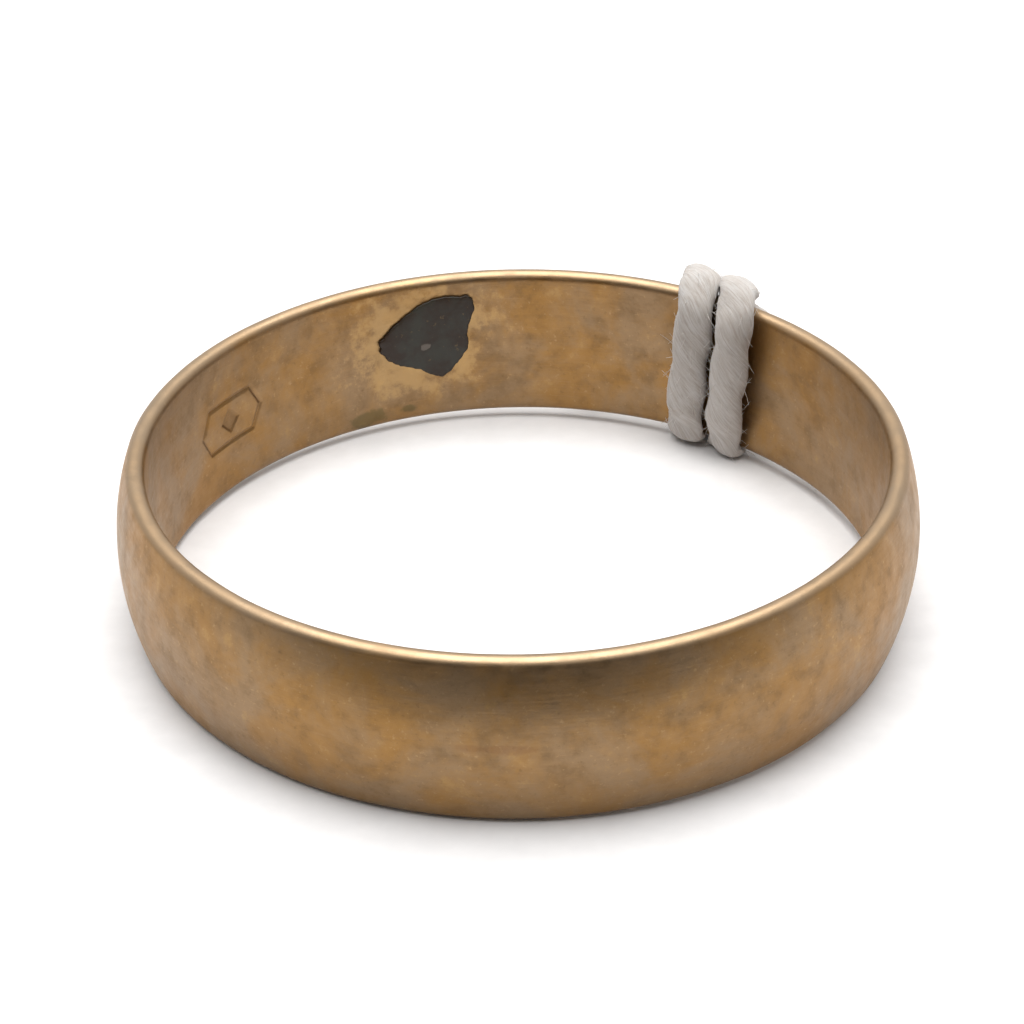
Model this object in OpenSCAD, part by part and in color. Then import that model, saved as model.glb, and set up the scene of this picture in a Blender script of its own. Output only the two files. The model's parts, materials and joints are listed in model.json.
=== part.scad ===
// A plain D-section wedding band, flat inside and domed outside. A soft cotton thread is tied twice
// round its wall, and a spot of hardened dark resin has stayed on its inside.
// The band's axis is Z and the origin is the middle of its bore. All sizes are in millimetres.
// Places on the band are [s, u, z]: s along the bore wall, u outwards from the bore wall, z up.

/* [Band] */
// Inside diameter
bore_d = 16.8; // [15:0.1:22]
// Width along the finger
band_w = 4.0; // [3.5:0.1:6]
// Wall thickness at the middle of the dome
crown_t = 0.77; // [0.7:0.01:1.2]
// Wall thickness at each rim, which is rounded right over
rim_t = 0.46; // [0.3:0.01:0.5]

/* [Stamp] */
// Direction of the struck cartouche on the inside wall, in degrees from +X
stamp_angle = 147; // [135:1:170]
// Length of the cartouche along the wall
stamp_l = 2.4; // [1.6:0.1:3]
// Height of the cartouche
stamp_h = 1.3; // [0.8:0.1:2]
// Width of the struck line round the cartouche
stamp_line = 0.14; // [0.1:0.01:0.2]
// Depth of the strike
stamp_depth = 0.04; // [0.02:0.01:0.1]

/* [Resin spot] */
// Direction of the spot's middle on the inside wall, in degrees from +X
spot_angle = 106; // [95:1:115]
// Thickness of the film
spot_t = 0.04; // [0.02:0.01:0.05]

/* [Thread] */
// Thickness of the two-ply thread
thread_d = 1.0; // [0.9:0.01:1.02]
// Thickness of the thread where it is drawn tight over the top rim
top_thread = 0.5; // [0.4:0.01:0.7]
// Thickness of the thread where it is pressed flat under the bottom rim
under_thread = 0.2; // [0.2:0.01:0.5]
// Thickness of the thread where it is drawn against the flat of the wall, inside and outside
wall_thread = 0.7; // [0.65:0.01:0.85]
// Direction of the tie's middle, in degrees from +X
tie_angle = 51.3; // [30:0.1:70]
// Room between the thread and the band, which lets the tie be pushed round
thread_gap = 0.06; // [0.05:0.01:0.1]
// Radius of the balls that the knot's outline is drawn round
knot_ball = 0.72; // [0.65:0.01:0.75]

/* [Hidden] */
$fn = 180;
bore_r = bore_d / 2;

// The section: two round rims and a dome that runs smoothly into both
rim_r = rim_t / 2;
rim_z = band_w / 2 - rim_r;
dome_k = crown_t - rim_r;
dome_r = (dome_k * dome_k + rim_z * rim_z - rim_r * rim_r) / (2 * (dome_k - rim_r));
dome_u = crown_t - dome_r;
dome_end = asin(rim_z / (dome_r - rim_r));

// The spot's outline on the inside wall, [s, z] from its middle
SPOT = [
    [0.6, 1.0], [0, 1.35], [-0.5, 1.45], [-1.2, 1.4], [-1.25, 1.1], [-1.1, 0.5], [-1.1, 0.05],
    [-0.9, -0.3], [-0.5, -0.75], [0.8, -0.2], [1.15, 0.15], [1.2, 0.45]
];

// How far the thread's centreline is from the wall where it is drawn against it
off = thread_gap + wall_thread / 2;
thread_sides = 8;
// From inside the knot to where the first turn starts, and from where the last turn ends into the knot
RUN_IN = [[-0.75, 2.0, -0.85], [-0.75, 1.85, -0.4], [-0.5, 1.6, 0.15], [-0.15, 1.3, 0.75]];
RUN_OUT = [[1.2, 1.15, -1.75], [1.55, 1.55, -1.6], [1.6, 1.95, -1.3]];
// The two cut ends, each from inside the knot to its tip
END_LEFT = [
    [1.2, 2.3, -1.45], [1.7, 2.35, -1.55], [2.2, 2.2, -1.6], [2.7, 1.9, -1.65], [3.2, 1.6, -1.6],
    [3.7, 1.4, -1.5], [4.2, 1.3, -1.45]
];
END_RIGHT = [
    [-0.5, 2.3, -1.05], [-1.0, 2.35, -0.95], [-1.5, 2.2, -0.9], [-2.0, 1.9, -0.85],
    [-2.5, 1.6, -0.85], [-3.0, 1.42, -0.9], [-3.4, 1.35, -0.95]
];
KNOT_BALLS = [[-0.5, 2.1, -1.25], [1.2, 2.1, -1.25], [0.35, 2.2, -1.25]];

// Where a place [s, u, z] near the tie is in the band's own frame
function tie_at(p) =
    let (a = tie_angle + p[0] / bore_r * 180 / PI)
    [(bore_r + p[1]) * cos(a), (bore_r + p[1]) * sin(a), p[2]];

// [u, z] along a line outside the section. On its way past a rim, whose length is shared out from 0 to
// 1, the thread is squeezed thinner than on the wall.
function past_dome(a) = [dome_u + (dome_r + off) * cos(a), (dome_r + off) * sin(a)];
function past_rim(side, squeezed, share) =
    let (a = dome_end + (180 - dome_end) * share)
    let (thick = wall_thread + (squeezed - wall_thread) * pow(sin(180 * share), 0.25))
    let (r = rim_r + thread_gap + thick / 2)
    [rim_r + r * cos(a), side * (rim_z + r * sin(a))];
function between(a, b, n) = [for (i = [0 : n - 1]) a + (b - a) * i / n];

// One turn starts and ends at the middle of the dome: up, over the top rim, down the inside, and back
TURN = concat(
    [for (a = between(0, dome_end, 3)) past_dome(a)],
    [for (t = between(0, 1, 7)) past_rim(1, top_thread, t)],
    [for (z = between(rim_z, -rim_z, 5)) [-off, z]],
    [for (t = between(1, 0, 7)) past_rim(-1, under_thread, t)],
    [for (a = between(-dome_end, 0, 3)) past_dome(a)]
);
// How far along the band the thread is at some points of its two turns, counted from the start of the
// first: outside near the top, on the rim, inside at the top and the bottom, and under the rim
DRIFT = [
    [2, 0.27], [6, -0.25], [10, -0.63], [15, -0.3], [18, -0.15], [22, 0.1], [25, 0.6], [27, 1.22],
    [31, 0.82], [35, 0.62], [40, 0.92], [45, 1.05]
];
WINDING = [
    for (i = [DRIFT[0][0] : DRIFT[len(DRIFT) - 1][0]])
        concat([lookup(i, DRIFT)], TURN[i % len(TURN)])
];

// How far a place is from the band's surface
function from_band(p) =
    abs(p[2]) > rim_z ? norm([p[1] - rim_r, abs(p[2]) - rim_z]) - rim_r
    : p[1] < 0 ? -p[1]
    : norm([p[1] - dome_u, p[2]]) - dome_r;
// How thick the thread is there, away from the band, as a share of its width
function flatness(p) = min(1, (from_band(p) - thread_gap) / (thread_d / 2));

function unit(v) = v / norm(v);
function heading(line, i) =
    unit(line[min(i + 1, len(line) - 1)] - line[max(i - 1, 0)]);

// A tube along a line of points. side_of gives each ring a direction to start from, and flat_to its
// thickness across that direction, as a share of d.
module tube(line, side_of, flat_to, d) {
    n = thread_sides;
    rings = [
        for (i = [0 : len(line) - 1])
            let (t = heading(line, i))
            let (b = unit(side_of[i] - (side_of[i] * t) * t))
            let (c = flat_to[i] * cross(t, b))
            [for (k = [0 : n - 1]) line[i] + d / 2 * (cos(360 * k / n) * b + sin(360 * k / n) * c)]
    ];
    last = (len(line) - 1) * n;
    polyhedron(
        points = [for (ring = rings) each ring],
        faces = concat(
            [[for (k = [0 : n - 1]) k]],
            [for (i = [0 : len(line) - 2], k = [0 : n - 1])
                let (a = i * n, m = (k + 1) % n)
                [a + k, a + n + k, a + n + m, a + m]],
            [[for (k = [n - 1 : -1 : 0]) last + k]]
        ),
        convexity = 10
    );
}

module band_section() {
    reach = crown_t;
    for (side = [-1, 1])
        translate([bore_r + rim_r, side * rim_z])
            circle(r = rim_r);
    intersection() {
        translate([bore_r + dome_u, 0])
            circle(r = dome_r, $fn = 720);
        polygon([
            [bore_r, -rim_z],
            [bore_r + rim_r, -rim_z],
            [bore_r + rim_r + reach * cos(dome_end), -rim_z - reach * sin(dome_end)],
            [bore_r + rim_r + reach * cos(dome_end), rim_z + reach * sin(dome_end)],
            [bore_r + rim_r, rim_z],
            [bore_r, rim_z]
        ]);
    }
}

// The cartouche is a plain six-sided frame with a lozenge in it, and has no lettering
module cartouche(l, h) {
    polygon([
        [-l / 2, 0], [-l / 2 + h / 4, h / 2], [l / 2 - h / 4, h / 2],
        [l / 2, 0], [l / 2 - h / 4, -h / 2], [-l / 2 + h / 4, -h / 2]
    ]);
}

module stamp_marks() {
    lozenge = stamp_h / 4;
    difference() {
        cartouche(stamp_l, stamp_h);
        cartouche(stamp_l - 2 * stamp_line, stamp_h - 2 * stamp_line);
    }
    polygon([[-lozenge, 0], [0, lozenge], [lozenge, 0], [0, -lozenge]]);
}

// A thin curved slice of the wall, between two radii, with a flat outline drawn as [s, z]
module on_wall(angle, r_in, r_out) {
    intersection() {
        rotate([90, 0, angle + 90])
            translate([0, 0, r_in - 1])
                linear_extrude(r_out - r_in + 2)
                    children();
        difference() {
            cylinder(r = r_out, h = band_w, center = true);
            cylinder(r = r_in, h = band_w + 1, center = true);
        }
    }
}

module band() {
    color([0.62, 0.47, 0.29])
        difference() {
            rotate_extrude()
                band_section();
            on_wall(stamp_angle, bore_r - 0.2, bore_r + stamp_depth)
                stamp_marks();
        }
}

module resin_spot() {
    color([0.2, 0.16, 0.13])
        on_wall(spot_angle, bore_r - spot_t, bore_r)
            polygon(SPOT);
}

module tie_thread() {
    places = concat(RUN_IN, WINDING, RUN_OUT);
    line = [for (p = places) tie_at(p)];
    along_band = [for (p = places) tie_at(p + [1, 0, 0]) - tie_at(p)];
    color([0.75, 0.72, 0.69])
        tube(line, along_band, [for (p = places) flatness(p)], thread_d);
}

module tie_knot() {
    color([0.73, 0.7, 0.67])
        hull()
            for (p = KNOT_BALLS)
                translate(tie_at(p))
                    sphere(r = knot_ball, $fn = 24);
}

module thread_end(places) {
    color([0.75, 0.72, 0.69])
        tube(
            [for (p = places) tie_at(p)], [for (p = places) [0, 0, 1]], [for (p = places) 1],
            thread_d
        );
}

module thread_end_left() {
    thread_end(END_LEFT);
}

module thread_end_right() {
    thread_end(END_RIGHT);
}

band();
resin_spot();
tie_thread();
tie_knot();
thread_end_left();
thread_end_right();
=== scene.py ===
"""A worn gold wedding band with a soft cotton thread tied round its wall, on a pale table."""

import json
import math
import random

import bpy
from mathutils import Matrix, Vector, noise


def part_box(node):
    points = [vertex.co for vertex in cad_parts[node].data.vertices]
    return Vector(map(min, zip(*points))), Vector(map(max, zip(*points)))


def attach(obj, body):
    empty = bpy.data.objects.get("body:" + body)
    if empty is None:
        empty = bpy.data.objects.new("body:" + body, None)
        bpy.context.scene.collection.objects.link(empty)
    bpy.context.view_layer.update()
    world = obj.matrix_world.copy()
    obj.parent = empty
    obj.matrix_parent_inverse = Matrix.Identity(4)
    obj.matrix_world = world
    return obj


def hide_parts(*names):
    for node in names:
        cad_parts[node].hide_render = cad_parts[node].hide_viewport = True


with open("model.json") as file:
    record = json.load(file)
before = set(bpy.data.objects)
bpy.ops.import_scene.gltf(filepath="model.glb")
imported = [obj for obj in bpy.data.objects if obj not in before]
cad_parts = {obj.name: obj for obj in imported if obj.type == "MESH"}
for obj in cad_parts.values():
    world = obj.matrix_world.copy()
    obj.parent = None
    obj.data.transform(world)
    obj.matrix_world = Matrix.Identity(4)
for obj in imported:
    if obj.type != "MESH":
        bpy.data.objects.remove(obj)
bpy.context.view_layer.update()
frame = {"record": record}
MM = 0.001

# --- Camera ---------------------------------------------------------------------------------------
# A long lens close to the ring, looking down at it over the front of the table. It leans a
# little to one side, and aims a hair off the ring's centre.
camera_pitch = math.radians(31.61)
camera_roll = math.radians(-0.93)
camera_distance = 56.83 * MM
camera_aim = Vector((0.00236, -0.00033, -1)).normalized()

camera_data = bpy.data.cameras.new("camera")
camera_data.lens = 86.53
camera_data.sensor_width = 36
camera_data.clip_start = 5 * MM
camera_data.clip_end = 10
camera = bpy.data.objects.new("camera", camera_data)
bpy.context.scene.collection.objects.link(camera)
camera_turn = (
    Matrix.Rotation(math.pi / 2 - camera_pitch, 4, "X") @ Matrix.Rotation(camera_roll, 4, "Z")
)
camera.matrix_world = Matrix.Translation(-(camera_turn @ (camera_aim * camera_distance))) @ camera_turn
bpy.context.scene.camera = camera
bpy.context.scene.view_settings.view_transform = "Standard"

# --- Band -----------------------------------------------------------------------------------------
# A plain D-section band of nine-carat gold, drawn as wire, bent round and soldered, then turned and
# polished. Years on a hand have rubbed it to satin, and a thin tarnish has settled over it unevenly.
band_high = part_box("band")[1]
outer_r = band_high.x
half_w = band_high.z
bore_r = frame["record"]["mounts"][0]["dims"]["r_mm"] * MM
crown_t = outer_r - bore_r
rim_r = 0.23 * MM
rim_z = half_w - rim_r
dome_k = crown_t - rim_r
dome_r = (dome_k ** 2 + rim_z ** 2 - rim_r ** 2) / (2 * (dome_k - rim_r))
dome_u = crown_t - dome_r
dome_end = math.asin(rim_z / (dome_r - rim_r))
spin_steps = 432


def arc(centre_u, centre_z, radius, start, end, count):
    """Points [u, z] along an arc of the band's section, without its last one."""
    turns = [start + (end - start) * i / count for i in range(count)]
    return [(centre_u + radius * math.cos(a), centre_z + radius * math.sin(a)) for a in turns]


def deselect_all():
    """Leaves edit mode, with nothing selected."""
    if bpy.context.object and bpy.context.object.mode == "EDIT":
        bpy.ops.object.mode_set(mode="OBJECT")
    bpy.ops.object.select_all(action="DESELECT")


section = (
    arc(dome_u, 0, dome_r, -dome_end, dome_end, 48)
    + arc(rim_r, rim_z, rim_r, dome_end, math.pi, 16)
    + [(0, rim_z - 2 * rim_z * i / 36) for i in range(36)]
    + arc(rim_r, -rim_z, rim_r, math.pi, 2 * math.pi - dome_end, 16)
)
deselect_all()
bpy.ops.mesh.primitive_circle_add(vertices=len(section), radius=half_w)
band = bpy.context.object
band.name = "worn_band"
for vertex, (u, z) in zip(band.data.vertices, section):
    vertex.co = (bore_r + u, 0, z)
bpy.ops.object.mode_set(mode="EDIT")
bpy.ops.mesh.select_all(action="SELECT")
bpy.ops.mesh.spin(steps=spin_steps, angle=2 * math.pi, center=(0, 0, 0), axis=(0, 0, 1))
bpy.ops.mesh.select_all(action="SELECT")
bpy.ops.mesh.remove_doubles(threshold=0.002 * MM)
bpy.ops.mesh.normals_make_consistent(inside=False)
bpy.ops.object.mode_set(mode="OBJECT")


def on_bore(point):
    """Where a point is on the bore wall: its direction in radians from +X, and its height."""
    return math.atan2(point.y, point.x), point.z


# The struck mark inside the band: a six-sided frame with a lozenge in it, and no lettering
stamp_angle = math.radians(147)
stamp_l = 2.4 * MM
stamp_h = 1.3 * MM
stamp_line = 0.14 * MM
stamp_depth = 0.04 * MM
stamp_reach = 0.25 * MM


def from_stamp(point):
    """[s, z] of a point on the bore wall, from the middle of the struck mark."""
    angle, z = on_bore(point)
    return (angle - stamp_angle) * bore_r, z


def to_edge(point, a, b):
    """How far a flat point is from the straight line between two others."""
    along = b - a
    t = max(0, min(1, (point - a).dot(along) / along.length_squared))
    return (point - a - t * along).length


def struck(point):
    """How deep the mark is at a point of the bore wall, from 0 to 1."""
    s, z = from_stamp(point)
    l, h = (stamp_l - stamp_line) / 2, (stamp_h - stamp_line) / 2
    corner = l - stamp_h / 4
    corners = [(l, 0), (corner, h), (-corner, h), (-l, 0), (-corner, -h), (corner, -h)]
    corners = [Vector(c) for c in corners]
    edge = min(to_edge(Vector((s, z)), corners[i - 1], corners[i]) for i in range(6))
    line = 1 - edge / (stamp_line * 0.6)
    lozenge = (stamp_h / 4 + stamp_line * 0.3 - abs(s) - abs(z)) / (stamp_line * 0.6)
    depth = max(0, min(1, max(line, lozenge)))
    return depth * depth * (3 - 2 * depth)


def near_stamp(point):
    s, z = from_stamp(point)
    return (
        math.hypot(point.x, point.y) < bore_r + 0.01 * MM
        and abs(s) < stamp_l / 2 + stamp_reach
        and abs(z) < stamp_h / 2 + stamp_reach
    )


bpy.ops.object.mode_set(mode="EDIT")
bpy.ops.mesh.select_mode(type="FACE")
bpy.ops.mesh.select_all(action="DESELECT")
bpy.ops.object.mode_set(mode="OBJECT")
for face in band.data.polygons:
    face.select = near_stamp(face.center)
bpy.ops.object.mode_set(mode="EDIT")
bpy.ops.mesh.subdivide(number_cuts=3)
bpy.ops.object.mode_set(mode="OBJECT")

# The wall is pressed in at the mark, and waves very slightly all over, as worn hand-made bands do
wave_height = 0.012 * MM
wave_size = 2.6 * MM
mark = band.data.attributes.new("struck", "FLOAT", "POINT")
for vertex in band.data.vertices:
    outwards = Vector((vertex.co.x, vertex.co.y, 0)).normalized()
    depth = struck(vertex.co) if near_stamp(vertex.co) else 0
    wave = noise.noise(vertex.co / wave_size) + 0.4 * noise.noise(vertex.co / wave_size * 3)
    mark.data[vertex.index].value = depth
    vertex.co += outwards * (depth * stamp_depth + wave * wave_height)
band.data.shade_smooth()


def linear(hex_code):
    """An sRGB hex colour as the linear RGBA that shaders take."""
    shares = [int(hex_code[i:i + 2], 16) / 255 for i in (0, 2, 4)]
    return [c / 12.92 if c <= 0.04045 else ((c + 0.055) / 1.055) ** 2.4 for c in shares] + [1]


def add_node(material, kind, inputs=(), **settings):
    """Adds one node, with its settings, and its sockets linked or given their values."""
    tree = material.node_tree
    node = tree.nodes.new(kind)
    for name, value in settings.items():
        setattr(node, name, value)
    for socket, value in dict(inputs).items():
        if isinstance(value, bpy.types.NodeSocket):
            tree.links.new(value, node.inputs[socket])
        else:
            node.inputs[socket].default_value = value
    return node


def new_material(name):
    """A material with nothing in it but its surface shader, and that shader."""
    material = bpy.data.materials.new(name)
    material.use_nodes = True
    return material, material.node_tree.nodes["Principled BSDF"]


# Gold alloy, worn to satin: warm where it is rubbed, greyer and duller where tarnish has settled,
# with fine hairline scratches that mostly run round the band
gold, gold_surface = new_material("satin_worn_nine_carat_gold")
gold_surface.inputs["Metallic"].default_value = 1
band.data.materials.append(gold)


def in_millimetres(material):
    """Places on a piece in millimetres, for its patterns to follow."""
    place = add_node(material, "ShaderNodeTexCoord").outputs["Object"]
    return add_node(material, "ShaderNodeVectorMath", {0: place, 1: (1000, 1000, 1000)},
                    operation="MULTIPLY").outputs["Vector"]


def near(material, vector, angle, radius, z, wide, high, ragged):
    """1 around a place on the band, fading to 0 at an oval edge. Sizes in mm, made uneven by ragged."""
    turn = math.radians(angle)
    middle = (radius * math.cos(turn), radius * math.sin(turn), z)
    away = add_node(material, "ShaderNodeVectorMath", {0: vector, 1: middle}, operation="SUBTRACT")
    scaled = add_node(material, "ShaderNodeVectorMath",
                      {0: away.outputs["Vector"], 1: (1 / wide, 1 / wide, 1 / high)},
                      operation="MULTIPLY")
    length = add_node(material, "ShaderNodeVectorMath", {0: scaled.outputs["Vector"]},
                      operation="LENGTH").outputs["Value"]
    wobble = add_node(material, "ShaderNodeMapRange", {
        "Value": ragged, "From Min": 0.3, "From Max": 0.7, "To Min": -0.4, "To Max": 0.4,
    }, interpolation_type="SMOOTHSTEP").outputs["Result"]
    uneven = add_node(material, "ShaderNodeMath", {0: length, 1: wobble}, operation="ADD")
    return add_node(material, "ShaderNodeMapRange", {
        "Value": uneven.outputs["Value"], "From Min": 0.55, "From Max": 1.1, "To Min": 1, "To Max": 0,
    }, interpolation_type="SMOOTHSTEP").outputs["Result"]


def tinted(material, colour, layers):
    """A colour with others laid over it in turn. A layer is a pattern, the values at which it starts
    to show and shows most, how much it then covers, and its colour."""
    # A mix node's sockets go by number: 0 is how much, 6 and 7 are its colours, and 2 the result
    for pattern, start, full, most, hex_code in layers:
        cover = add_node(material, "ShaderNodeMapRange", {
            "Value": pattern, "From Min": start, "From Max": full, "To Max": most,
        }, interpolation_type="SMOOTHSTEP").outputs["Result"]
        colour = add_node(material, "ShaderNodeMix", {0: cover, 6: colour, 7: linear(hex_code)},
                          data_type="RGBA").outputs[2]
    return colour


def marked(material, colour, marks):
    """A colour with single marks on it. A mark is its shape, how much it covers, and its colour."""
    for shape, most, hex_code in marks:
        cover = add_node(material, "ShaderNodeMath", {0: shape, 1: most}, operation="MULTIPLY")
        colour = add_node(material, "ShaderNodeMix",
                          {0: cover.outputs["Value"], 6: colour, 7: linear(hex_code)},
                          data_type="RGBA").outputs[2]
    return colour


on_band = in_millimetres(gold)
axes = add_node(gold, "ShaderNodeSeparateXYZ", {"Vector": on_band}).outputs
level = add_node(gold, "ShaderNodeCombineXYZ", {"X": axes["X"], "Y": axes["Y"]})
from_axis = add_node(gold, "ShaderNodeVectorMath", {0: level.outputs["Vector"]},
                     operation="LENGTH").outputs["Value"]
inside_wall = add_node(gold, "ShaderNodeMapRange", {
    "Value": from_axis, "From Min": bore_r / MM + 0.05, "From Max": bore_r / MM + 0.25,
    "To Min": 1, "To Max": 0,
}, interpolation_type="SMOOTHSTEP").outputs["Result"]

# Scales are how many to a millimetre: patches about 2 mm across, blotches 0.6 mm and specks 0.12 mm.
# The hairlines are 0.04 mm apart, coarser than real ones, which would be too fine to show.
patches = add_node(gold, "ShaderNodeTexNoise", {
    "Vector": on_band, "Scale": 0.45, "Detail": 6, "Roughness": 0.62, "Distortion": 0.4,
}).outputs["Fac"]
blotches = add_node(gold, "ShaderNodeTexNoise", {
    "Vector": on_band, "Scale": 1.6, "Detail": 6, "Roughness": 0.68,
}).outputs["Fac"]
specks = add_node(gold, "ShaderNodeTexNoise", {
    "Vector": on_band, "Scale": 8, "Detail": 3, "Roughness": 0.6,
}).outputs["Fac"]
stretched = add_node(gold, "ShaderNodeVectorMath", {0: on_band, 1: (0.8, 0.8, 26)},
                     operation="MULTIPLY").outputs["Vector"]
hairlines = add_node(gold, "ShaderNodeTexNoise", {
    "Vector": stretched, "Scale": 1, "Detail": 4, "Roughness": 0.65, "Distortion": 0.2,
}).outputs["Fac"]
edges = add_node(gold, "ShaderNodeMath", {0: axes["Z"]}, operation="ABSOLUTE").outputs["Value"]

# Tarnish and wear over the bare alloy, and a pale rim where the edges rub
tone = tinted(gold, linear("9B7647"), [
    (patches, 0.36, 0.64, 1, "957B5D"),
    (blotches, 0.48, 0.74, 0.42, "81684A"),
    (blotches, 0.42, 0.28, 0.6, "A98859"),
    (specks, 0.6, 0.75, 0.35, "735C40"),
    (specks, 0.4, 0.25, 0.4, "B99A70"),
    (hairlines, 0.55, 0.75, 0.3, "B39269"),
    (edges, half_w / MM - 0.16, half_w / MM - 0.02, 0.75, "B39C80"),
])
# A pale ring in the tarnish round the resin, an olive stain low on the inside, a faint dark scuff on
# the outside, and dirt in the struck mark
halo = near(gold, on_band, 107, bore_r / MM, 0.35, 1.95, 1.75, blotches)
halo = add_node(gold, "ShaderNodeMath", {0: halo, 1: inside_wall}, operation="MULTIPLY")
stain = near(gold, on_band, 117, bore_r / MM, -1.68, 0.75, 0.26, blotches)
drip = near(gold, on_band, 109.3, bore_r / MM, -1.62, 0.32, 0.15, blotches)
stain = add_node(gold, "ShaderNodeMath", {0: stain, 1: drip}, operation="MAXIMUM")
stain = add_node(gold, "ShaderNodeMath", {0: stain.outputs["Value"], 1: inside_wall},
                 operation="MULTIPLY")
scuff = near(gold, on_band, -93, outer_r / MM, 0.1, 0.9, 0.12, blotches)
dirt = add_node(gold, "ShaderNodeAttribute", attribute_name="struck").outputs["Fac"]
tone = marked(gold, tone, [
    (halo.outputs["Value"], 0.55, "B99867"),
    (stain.outputs["Value"], 0.7, "685C3F"),
    (scuff, 0.25, "7A5238"),
    (dirt, 0.22, "5C4026"),
])
gold.node_tree.links.new(tone, gold_surface.inputs["Base Color"])

dull = add_node(gold, "ShaderNodeMapRange", {
    "Value": blotches, "From Min": 0.35, "From Max": 0.7, "To Min": 0.4, "To Max": 0.54,
}, interpolation_type="SMOOTHSTEP").outputs["Result"]
streaks = add_node(gold, "ShaderNodeMapRange", {
    "Value": hairlines, "From Min": 0.3, "From Max": 0.7, "To Min": -0.04, "To Max": 0.04,
}, interpolation_type="SMOOTHSTEP").outputs["Result"]
dull = add_node(gold, "ShaderNodeMath", {0: dull, 1: streaks}, operation="ADD")
gold.node_tree.links.new(dull.outputs["Value"], gold_surface.inputs["Roughness"])
hollows = add_node(gold, "ShaderNodeTexNoise", {
    "Vector": on_band, "Scale": 3.5, "Detail": 4, "Roughness": 0.6,
}).outputs["Fac"]
dents = add_node(gold, "ShaderNodeBump", {"Height": hollows, "Strength": 0.35, "Distance": 0.012 * MM})
scratches = add_node(gold, "ShaderNodeBump", {
    "Height": hairlines, "Normal": dents.outputs["Normal"], "Strength": 0.3, "Distance": 0.006 * MM,
})
gold.node_tree.links.new(scratches.outputs["Normal"], gold_surface.inputs["Normal"])

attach(band, "ring")
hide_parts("band")

# --- Resin spot -----------------------------------------------------------------------------------
# A drop of hardened dark resin, most likely shellac, that has stayed on the inside wall as a thin hard
# film. It is almost black, and its surface tension left it domed, with a sharp uneven outline.
spot_angle = math.radians(106)
spot_middle = Vector((-0.15, 0.4)) * MM
spot_outline = [
    (0.6, 1.0), (0, 1.35), (-0.5, 1.45), (-0.9, 1.43), (-1.2, 1.4), (-1.27, 1.1), (-1.1, 0.5),
    (-1.1, 0.05), (-0.9, -0.3), (-0.55, -0.7), (-0.3, -0.75), (0.2, -0.45), (0.8, -0.2),
    (1.15, 0.15), (1.2, 0.43), (1.05, 0.62),
]
film_top = 0.05 * MM
film_sink = 0.015 * MM
film_backing = 0.07 * MM
film_rings = 14
steps_a_point = 8


def through(points, i, t, closed=False):
    """A point on the smooth curve through a list of points, a share t of the way from i to i + 1."""
    n = len(points)
    picked = [(i + k) % n if closed else max(0, min(n - 1, i + k)) for k in (-1, 0, 1, 2)]
    a, b, c, d = (Vector(points[k]) for k in picked)
    bend = (c - a) * t + (2 * a - 5 * b + 4 * c - d) * t * t + (3 * b - a - 3 * c + d) * t ** 3
    return b + 0.5 * bend


spot_edge = [
    through(spot_outline, i, step / steps_a_point, closed=True) * MM - spot_middle
    for i in range(len(spot_outline)) for step in range(steps_a_point)
]
deselect_all()
bpy.ops.mesh.primitive_circle_add(vertices=len(spot_edge), radius=MM)
spot = bpy.context.object
spot.name = "resin_film"
for vertex, flat in zip(spot.data.vertices, spot_edge):
    ragged = 1 + 0.05 * noise.noise(flat.to_3d() / (0.12 * MM))
    vertex.co = (flat.x * ragged, flat.y * ragged, 0)
bpy.ops.object.mode_set(mode="EDIT")
bpy.ops.mesh.select_mode(type="VERT")
bpy.ops.mesh.select_all(action="SELECT")
film_shares = [1 - (i / film_rings) ** 1.5 for i in range(film_rings)]
film_heights = [film_top * (1 - share ** 2) ** 0.5 for share in film_shares]
for i in range(1, film_rings):
    bpy.ops.mesh.extrude_region_move()
    size = film_shares[i] / film_shares[i - 1]
    bpy.ops.transform.resize(value=(size, size, 1), center_override=(0, 0, 0))
    bpy.ops.transform.translate(value=(0, 0, film_heights[i] - film_heights[i - 1]))
bpy.ops.mesh.merge(type="CENTER")
bpy.ops.object.mode_set(mode="OBJECT")
for vertex in spot.data.vertices:
    angle = spot_angle + (vertex.co.x + spot_middle.x) / bore_r
    radius = bore_r + film_sink - vertex.co.z
    vertex.co = (radius * math.cos(angle), radius * math.sin(angle), vertex.co.y + spot_middle.y)
bpy.ops.object.mode_set(mode="EDIT")
bpy.ops.mesh.select_all(action="SELECT")
bpy.ops.mesh.normals_make_consistent(inside=False)
bpy.ops.object.mode_set(mode="OBJECT")
backing = spot.modifiers.new("backing", "SOLIDIFY")
backing.thickness = film_backing
backing.offset = -1
bpy.ops.object.modifier_apply(modifier=backing.name)
spot.data.shade_smooth()

# Old shellac: nearly black with a dull shine, brown in some places and greenish in others, with a painted
# highlight in pale grey near its middle. Its clouds are 0.7 mm across, its flecks 0.14 mm and its
# wrinkles 0.2 mm.
shellac, shellac_surface = new_material("old_dark_shellac")
spot.data.materials.append(shellac)
on_film = in_millimetres(shellac)
cloud_noise = add_node(shellac, "ShaderNodeTexNoise", {
    "Vector": on_film, "Scale": 1.4, "Detail": 3, "Roughness": 0.6,
}).outputs["Fac"]
clouds = add_node(shellac, "ShaderNodeMapRange", {
    "Value": cloud_noise, "From Min": 0.35, "From Max": 0.65,
}, interpolation_type="SMOOTHSTEP").outputs["Result"]
flecks = add_node(shellac, "ShaderNodeTexNoise", {
    "Vector": on_film, "Scale": 7, "Detail": 3, "Roughness": 0.6,
}).outputs["Fac"]
# A small pale grey fleck near the middle is a painted highlight: the glint on the film's glossy dome,
# painted into its colour
painted_glint = near(shellac, on_film, 106, bore_r / MM, 0.15, 0.16, 0.09, clouds)
body = tinted(shellac, linear("2F2218"), [
    (cloud_noise, 0.35, 0.65, 1, "35342D"),
    (flecks, 0.62, 0.75, 1, "5C4A31"),
])
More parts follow.
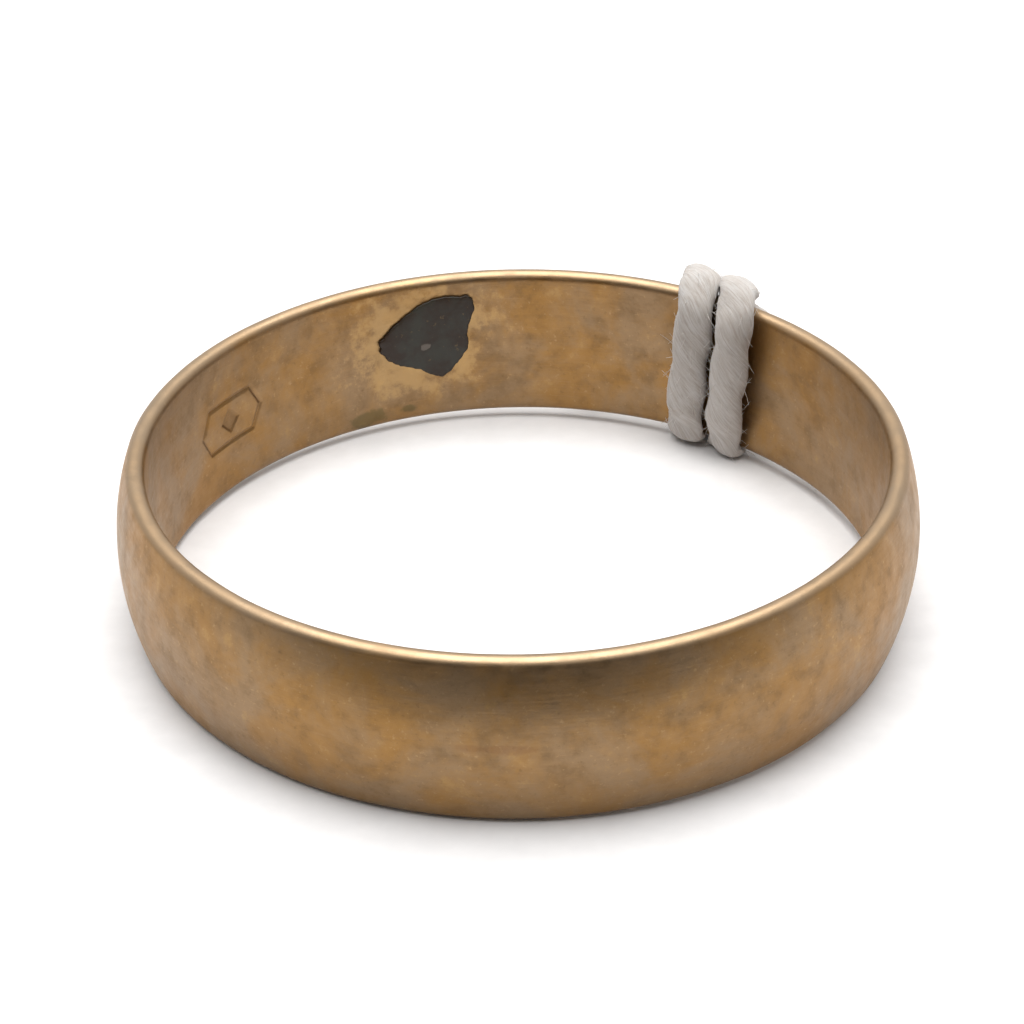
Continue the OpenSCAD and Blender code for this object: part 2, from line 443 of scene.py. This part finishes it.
# The painted highlight is laid over the body colour here
body = marked(shellac, body, [(painted_glint, 0.8, "6F675F")])
shellac.node_tree.links.new(body, shellac_surface.inputs["Base Color"])
shellac_surface.inputs["Roughness"].default_value = 0.42
shellac_surface.inputs["IOR"].default_value = 1.52
shellac_surface.inputs["Specular IOR Level"].default_value = 0.3
wrinkles = add_node(shellac, "ShaderNodeTexNoise", {
    "Vector": on_film, "Scale": 5, "Detail": 3, "Roughness": 0.6,
}).outputs["Fac"]
skin = add_node(shellac, "ShaderNodeBump", {"Height": wrinkles, "Strength": 0.5, "Distance": 0.02 * MM})
shellac.node_tree.links.new(skin.outputs["Normal"], shellac_surface.inputs["Normal"])

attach(spot, "ring")
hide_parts("resin_spot")

# --- Tied thread ----------------------------------------------------------------------------------
# One length of soft two-ply cotton tag thread. It goes twice round the band's wall, up outside and
# down inside, and its two ends are tied once outside the wall and cut short.
thread_d = 1.0 * MM
top_thread = 0.5 * MM
under_thread = 0.2 * MM
wall_thread = 0.7 * MM
thread_gap = 0.06 * MM
tie_angle = math.radians(51.3)
off = thread_gap + wall_thread / 2
RUN_IN = [(-0.75, 2.0, -0.85), (-0.75, 1.85, -0.4), (-0.5, 1.6, 0.15), (-0.15, 1.3, 0.75)]
RUN_OUT = [(1.2, 1.15, -1.75), (1.55, 1.55, -1.6), (1.6, 1.95, -1.3)]
END_LEFT = [
    (1.2, 2.3, -1.45), (1.7, 2.35, -1.55), (2.2, 2.2, -1.6), (2.7, 1.9, -1.65),
    (3.2, 1.6, -1.6), (3.7, 1.4, -1.5), (4.2, 1.3, -1.45),
]
END_RIGHT = [
    (-0.5, 2.3, -1.05), (-1.0, 2.35, -0.95), (-1.5, 2.2, -0.9), (-2.0, 1.9, -0.85),
    (-2.5, 1.6, -0.85), (-3.0, 1.42, -0.9), (-3.4, 1.35, -0.95),
]
DRIFT = [
    (2, 0.27), (6, -0.25), (10, -0.63), (15, -0.3), (18, -0.15), (22, 0.1), (25, 0.6), (27, 1.22),
    (31, 0.82), (35, 0.62), (40, 0.92), (45, 1.05),
]


def tie_at(s, u, z):
    """Where a place near the tie is: s along the bore wall, u outwards from it, and z up."""
    angle = tie_angle + s / bore_r
    return Vector(((bore_r + u) * math.cos(angle), (bore_r + u) * math.sin(angle), z))


def in_place(points):
    """A list of places near the tie, given in millimetres."""
    return [tie_at(s * MM, u * MM, z * MM) for s, u, z in points]


def past_rim(side, squeezed, share):
    """[u, z] past a rim, where the thread is squeezed thinner than on the wall."""
    angle = dome_end + (math.pi - dome_end) * share
    thick = wall_thread + (squeezed - wall_thread) * max(0, math.sin(math.pi * share)) ** 0.25
    reach = rim_r + thread_gap + thick / 2
    return rim_r + reach * math.cos(angle), side * (rim_z + reach * math.sin(angle))


def drift(i):
    """How far along the band the thread is at a point of its winding."""
    k = max(k for k in range(len(DRIFT) - 1) if DRIFT[k][0] <= i)
    (start, before), (end, after) = DRIFT[k], DRIFT[k + 1]
    return (before + (after - before) * (i - start) / (end - start)) * MM


# One turn, as [u, z] from the middle of the dome: up, over the top rim, down the inside, and back
turn = (
    arc(dome_u, 0, dome_r + off, 0, dome_end, 3)
    + [past_rim(1, top_thread, i / 7) for i in range(7)]
    + [(-off, rim_z - 2 * rim_z * i / 5) for i in range(5)]
    + [past_rim(-1, under_thread, 1 - i / 7) for i in range(7)]
    + arc(dome_u, 0, dome_r + off, -dome_end, 0, 3)
)
winding = [tie_at(drift(i), *turn[i % len(turn)]) for i in range(DRIFT[0][0], DRIFT[-1][0] + 1)]

# In the half knot the two strands wind round each other, pulled down tighter and thinner
knot_s, knot_u, knot_z = 0.35 * MM, 2.15 * MM, -1.25 * MM
knot_half = 1.25 * MM
knot_strand_d = 0.74 * MM
knot_points = 16
knot_turn = 450                 # degrees that each strand winds through: a turn and a quarter


def knot_strand(start_angle):
    """One strand's way through the knot, towards +s."""
    points = []
    for i in range(knot_points + 1):
        share = i / knot_points
        angle = math.radians(start_angle + knot_turn * share)
        u = knot_u + knot_strand_d / 2 * math.cos(angle)
        z = knot_z + knot_strand_d / 2 * math.sin(angle)
        points.append(tie_at(knot_s + knot_half * (2 * share - 1), u, z))
    return points


route = (
    in_place(reversed(END_LEFT[2:])) + list(reversed(knot_strand(225))) + in_place(RUN_IN[1:])
    + winding + in_place(RUN_OUT[:2]) + list(reversed(knot_strand(45))) + in_place(END_RIGHT[2:])
)

# The route is drawn as a smooth curve, cut into even steps, and then eased at its tight bends
ring_step = 0.08 * MM
line_step = ring_step / 3
easings = 6
line = [route[0]]
for i in range(len(route) - 1):
    steps = max(1, round((route[i + 1] - route[i]).length / line_step))
    line += [through(route, i, step / steps) for step in range(1, steps + 1)]
travelled = [0]
for a, b in zip(line, line[1:]):
    travelled.append(travelled[-1] + (b - a).length)
thread_length = travelled[-1]
ring_count = round(thread_length / ring_step)
centres = []
k = 0
for i in range(ring_count + 1):
    goal = thread_length * i / ring_count
    while k < len(line) - 2 and travelled[k + 1] < goal:
        k += 1
    share = (goal - travelled[k]) / (travelled[k + 1] - travelled[k])
    centres.append(line[k].lerp(line[k + 1], share))
for _ in range(easings):
    softened = [(a + 2 * b + c) / 4 for a, b, c in zip(centres, centres[1:], centres[2:])]
    centres = [centres[0]] + softened + [centres[-1]]


def smooth(low, high, value):
    """0 below low, 1 above high, and a smooth step between."""
    t = max(0, min(1, (value - low) / (high - low)))
    return t * t * (3 - 2 * t)


def off_band(point):
    """How far a place is from the band's surface, and the way straight off it."""
    u, z = math.hypot(point.x, point.y) - bore_r, point.z
    outwards = Vector((point.x, point.y, 0)).normalized()
    if abs(z) > rim_z:
        from_middle, radius = Vector((u - rim_r, abs(z) - rim_z)), rim_r
    elif u < rim_r:
        return -u, -outwards
    else:
        from_middle, radius = Vector((u - dome_u, abs(z))), dome_r
    way = from_middle.normalized()
    upwards = Vector((0, 0, math.copysign(1, z)))
    return from_middle.length - radius, way.x * outwards + way.y * upwards


# The twist: each ply is a soft round strand squeezed against the other, so that the pair's outline
# is two overlapping circles, which turn left-handed once in three diameters
twist_pitch = 3 * thread_d
ply_off, ply_r = 0.16, 0.88
yarn_stretch = 0.35             # how far the yarn's pattern moves on in one diameter: its marks are long
tip_share = 0.35                # how thick the cut tips are, as a share of the thread
pinch_share = 0.5
pinch_reach = 0.9 * MM
ring_sides = 48
knot_middle = tie_at(knot_s, knot_u, knot_z)


def ply_outline(angle):
    """How far the pair's outline is from the middle, as a share of the thread's radius."""
    forward, sideways = ply_off * abs(math.cos(angle)), ply_off * math.sin(angle)
    return forward + math.sqrt(ply_r ** 2 - sideways ** 2)


rooms = [off_band(centre)[0] for centre in centres]
settle = 4                      # rings each way over which the flattening is evened out
vertices, faces, fibre_places = [], [], []
side_way = Vector((0, 0, 1))
for i, centre in enumerate(centres):
    ahead = (centres[min(i + 1, ring_count)] - centres[max(i - 1, 0)]).normalized()
    side_way = (side_way - side_way.dot(ahead) * ahead).normalized()
    across = ahead.cross(side_way)
    along = thread_length * i / ring_count
    tight = 1 - smooth(1.1 * MM, 2.2 * MM, (centre - knot_middle).length)
    radius = (thread_d + (knot_strand_d - thread_d) * tight) / 2
    to_tip = min(along, thread_length - along)
    radius *= tip_share + (1 - tip_share) * smooth(-0.05 * MM, 0.25 * MM, to_tip)
    nearby = rooms[max(0, i - settle):i + settle + 1]
    half_thick = min(radius, sum(nearby) / len(nearby) - thread_gap / 2)
    away = off_band(centre)[1]
    # Where it bends in under the wall it is pinched thinner still, against the rim
    beside = math.hypot(centre.x, centre.y) - bore_r
    pinch = pinch_share * (1 - smooth(0, pinch_reach, abs(centre.z + rim_z)))
    pinch *= 1 - smooth(-0.1 * MM, 0.3 * MM, beside)
    middle = centre - pinch * half_thick * away
    flatness = half_thick * (1 - pinch) / radius
    for j in range(ring_sides):
        angle = 2 * math.pi * j / ring_sides
        ply_angle = angle + 2 * math.pi * along / twist_pitch
        yarn_place = Vector((math.cos(ply_angle), math.sin(ply_angle), along / thread_d * yarn_stretch))
        ridges = noise.noise(yarn_place * 7) * 0.03 + noise.noise(yarn_place * 2.5) * 0.05
        reach = radius * (ply_outline(ply_angle) + ridges)
        spoke = reach * (math.cos(angle) * side_way + math.sin(angle) * across)
        vertices.append(middle + spoke - (1 - flatness) * spoke.dot(away) * away)
        fibre_places.append(yarn_place)
for i in range(ring_count):
    for j in range(ring_sides):
        k = (j + 1) % ring_sides
        a, b = i * ring_sides, (i + 1) * ring_sides
        faces.append((a + j, a + k, b + k, b + j))
first_tip, last_tip = len(vertices), len(vertices) + 1
vertices += [centres[0], centres[-1]]
fibre_places += [Vector((0, 0, 0)), Vector((0, 0, thread_length / thread_d * yarn_stretch))]
for j in range(ring_sides):
    k = (j + 1) % ring_sides
    faces.append((first_tip, k, j))
    faces.append((last_tip, ring_count * ring_sides + j, ring_count * ring_sides + k))
thread_mesh = bpy.data.meshes.new("tied_thread")
thread_mesh.from_pydata(vertices, [], faces)
fibre_way = thread_mesh.attributes.new("fibre_way", "FLOAT_VECTOR", "POINT")
for datum, yarn_place in zip(fibre_way.data, fibre_places):
    datum.vector = yarn_place
thread_mesh.shade_smooth()
thread = bpy.data.objects.new("tied_thread", thread_mesh)
bpy.context.scene.collection.objects.link(thread)

# Soft bleached cotton: a dull warm white, with fine fibres that lie along the yarn. They are drawn
# coarser than real ones, which would be too fine to show.
cotton, cotton_surface = new_material("soft_bleached_cotton")
thread_mesh.materials.append(cotton)
yarn_way = add_node(cotton, "ShaderNodeAttribute", attribute_name="fibre_way").outputs["Vector"]
fibres = add_node(cotton, "ShaderNodeTexNoise", {
    "Vector": yarn_way, "Scale": 9, "Detail": 6, "Roughness": 0.7,
}).outputs["Fac"]
cloudy = add_node(cotton, "ShaderNodeTexNoise", {
    "Vector": yarn_way, "Scale": 1.6, "Detail": 3, "Roughness": 0.6,
}).outputs["Fac"]
bleached = tinted(cotton, linear("BEBBB8"), [
    (cloudy, 0.35, 0.65, 1, "B4AFAA"),
    (fibres, 0.6, 0.35, 1, "A59D96"),
])
cotton.node_tree.links.new(bleached, cotton_surface.inputs["Base Color"])
cotton_surface.inputs["Roughness"].default_value = 0.95
cotton_surface.inputs["Sheen Weight"].default_value = 0.15
cotton_surface.inputs["Subsurface Weight"].default_value = 0.5
cotton_surface.inputs["Subsurface Radius"].default_value = (1, 0.85, 0.75)
cotton_surface.inputs["Subsurface Scale"].default_value = 0.12 * MM
cotton_surface.inputs["Specular IOR Level"].default_value = 0.2
nap = add_node(cotton, "ShaderNodeBump", {"Height": fibres, "Strength": 0.4, "Distance": 0.03 * MM})
cotton.node_tree.links.new(nap.outputs["Normal"], cotton_surface.inputs["Normal"])

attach(thread, "tie")
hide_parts("tie_thread", "tie_knot", "thread_end_left", "thread_end_right")

# --- Cotton fuzz ----------------------------------------------------------------------------------
# Loose cotton fibres stand off the yarn all over, a few of them long, and the two cut ends fray into
# tufts. Each is a fine three-sided hair that starts inside the yarn and curls as it goes.
random.seed(51)
fibre_count = 1100
long_fibre_count = 8
tuft_count = 60
fibre_r = 0.007 * MM
fibre_steps = 5
fibre_sides = 3
root_depth = 0.03 * MM
tuft_spread = 0.15 * MM
thread_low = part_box("tie_thread")[0].z
hair_vertices, hair_faces = [], []


def random_way():
    """A direction picked evenly from all round."""
    return Vector((random.gauss(0, 1), random.gauss(0, 1), random.gauss(0, 1))).normalized()


def hair(root, way, length):
    """Adds one fibre to the fuzz, from its root and the way it starts off."""
    curl = random_way() * random.uniform(0.15, 0.6)
    place = root.copy()
    first = len(hair_vertices)
    for i in range(fibre_steps + 1):
        way = (way + curl / fibre_steps).normalized()
        side = way.orthogonal().normalized()
        other = way.cross(side)
        thin = fibre_r * (1 - 0.5 * i / fibre_steps)
        for k in range(fibre_sides):
            turned = 2 * math.pi * k / fibre_sides
            hair_vertices.append(place + thin * (math.cos(turned) * side + math.sin(turned) * other))
        place = place + way * (length / fibre_steps)
        room, away = off_band(place)
        if room < 2 * fibre_r:
            place += away * (2 * fibre_r - room)
        place.z = max(place.z, thread_low + 2 * fibre_r)
    for i in range(fibre_steps):
        for k in range(fibre_sides):
            a = first + fibre_sides * i + k
            b = first + fibre_sides * i + (k + 1) % fibre_sides
            hair_faces.append((a, b, b + fibre_sides, a + fibre_sides))
    last = first + fibre_sides * fibre_steps
    hair_faces.append((first + 2, first + 1, first))
    hair_faces.append((last, last + 1, last + 2))


for i in range(fibre_count + long_fibre_count):
    ring = random.randrange(2, ring_count - 2)
    skin_place = vertices[ring * ring_sides + random.randrange(ring_sides)]
    ahead = (centres[ring + 1] - centres[ring - 1]).normalized()
    outwards = (skin_place - centres[ring]).normalized()
    way = (ahead * random.choice((-1, 1)) + outwards * random.uniform(0.2, 1.2)
           + random_way() * 0.4).normalized()
    reach = random.uniform(0.35, 0.6) if i < long_fibre_count else random.uniform(0.12, 0.45)
    hair(skin_place - outwards * root_depth, way, reach * MM)
for tip, before in ((centres[0], centres[4]), (centres[-1], centres[-5])):
    for i in range(tuft_count):
        way = ((tip - before).normalized() + random_way() * 0.35).normalized()
        root = tip.lerp(before, 0.5) + random_way() * tuft_spread
        hair(root, way, random.uniform(0.3, 0.8) * MM)
fuzz_mesh = bpy.data.meshes.new("cotton_fuzz")
fuzz_mesh.from_pydata(hair_vertices, [], hair_faces)
fuzz = bpy.data.objects.new("cotton_fuzz", fuzz_mesh)
bpy.context.scene.collection.objects.link(fuzz)

# Single cotton fibres: paler than the yarn, because light comes through them
loose, loose_surface = new_material("loose_cotton_fibre")
fuzz_mesh.materials.append(loose)
shades = add_node(loose, "ShaderNodeTexNoise", {
    "Vector": in_millimetres(loose), "Scale": 1.5, "Detail": 2, "Roughness": 0.5,
}).outputs["Fac"]
pale = tinted(loose, linear("BFB8B1"), [(shades, 0.35, 0.65, 1, "D2CFCB")])
loose.node_tree.links.new(pale, loose_surface.inputs["Base Color"])
loose_surface.inputs["Roughness"].default_value = 0.8

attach(fuzz, "tie")

# --- Table ----------------------------------------------------------------------------------------
# A pale matt board. The ring leans on it: one side stands on the thread, the other on the band's rim.
# It is laid at the lowest place of the CAD's thread, and the fuller thread drawn here sinks about
# 0.14 mm into it at rest. It keeps that slope when the tie is slid round, and then the thread sinks more.
table_r = 1.5
rest_r = bore_r + rim_r
table_slope = (thread_low + half_w) / (2 * rest_r)
table_middle = (thread_low - half_w) / 2
deselect_all()
bpy.ops.mesh.primitive_circle_add(vertices=96, radius=table_r, fill_type="NGON")
table = bpy.context.object
table.name = "table"


def table_height(x, y):
    """How high the sloping table is at a place."""
    return table_middle + table_slope * (x * math.cos(tie_angle) + y * math.sin(tie_angle))


for vertex in table.data.vertices:
    vertex.co.z = table_height(vertex.co.x, vertex.co.y)

# White board: matt and even, with only a slight grain
board, board_surface = new_material("matt_white_board")
grain = add_node(board, "ShaderNodeTexNoise", {
    "Vector": in_millimetres(board), "Scale": 0.9, "Detail": 4, "Roughness": 0.6,
}).outputs["Fac"]
white = tinted(board, linear("EAEAEB"), [(grain, 0.3, 0.7, 1, "F0F0F1")])
board.node_tree.links.new(white, board_surface.inputs["Base Color"])
board_surface.inputs["Roughness"].default_value = 0.9
table.data.materials.append(board)

# --- Black card -----------------------------------------------------------------------------------
# A matt black card lies on the table just in front of the view, so that the top of the wall's front
# has something dark to reflect.
card_near, card_far, card_half = -16.6 * MM, -75 * MM, 34 * MM
card_lift = 0.2 * MM
deselect_all()
bpy.ops.mesh.primitive_plane_add(size=1)
card = bpy.context.object
card.name = "black_card"
for vertex in card.data.vertices:
    x = math.copysign(card_half, vertex.co.x)
    y = card_near if vertex.co.y > 0 else card_far
    vertex.co = (x, y, table_height(x, y) + card_lift)

# Black card: matt, with a faintly uneven surface
black, black_surface = new_material("matt_black_card")
fleece = add_node(black, "ShaderNodeTexNoise", {
    "Vector": in_millimetres(black), "Scale": 1.2, "Detail": 3, "Roughness": 0.6,
}).outputs["Fac"]
charcoal = marked(black, linear("17171A"), [(fleece, 1, "212124")])
black.node_tree.links.new(charcoal, black_surface.inputs["Base Color"])
black_surface.inputs["Roughness"].default_value = 0.9
card.data.materials.append(black)

# --- Light and room -------------------------------------------------------------------------------
# One large soft light hangs over the ring, a little behind it. The room is a white tent, but for the
# opening in front that the ring is seen through, which is dark.
softbox_place = Vector((0, 0.008, 0.14))
softbox_data = bpy.data.lights.new("overhead_softbox", "AREA")
softbox_data.size = 0.16
softbox_data.energy = 0.34
softbox_data.color = linear("FFFDFA")[:3]
softbox = bpy.data.objects.new("overhead_softbox", softbox_data)
bpy.context.scene.collection.objects.link(softbox)
softbox.location = softbox_place
softbox.rotation_euler = (-softbox_place).to_track_quat("-Z", "Y").to_euler()

world = bpy.data.worlds.new("studio")
bpy.context.scene.world = world
world.use_nodes = True
direction = add_node(world, "ShaderNodeTexCoord").outputs["Generated"]
ways = add_node(world, "ShaderNodeSeparateXYZ", {"Vector": direction}).outputs
towards_back = add_node(world, "ShaderNodeMapRange", {
    "Value": ways["Y"], "From Min": -0.95, "From Max": 0.35, "To Min": 0.03, "To Max": 0.88,
}, interpolation_type="SMOOTHSTEP").outputs["Result"]
room = world.node_tree.nodes["Background"]
room.inputs["Color"].default_value = linear("F4F5F8")
world.node_tree.links.new(towards_back, room.inputs["Strength"])
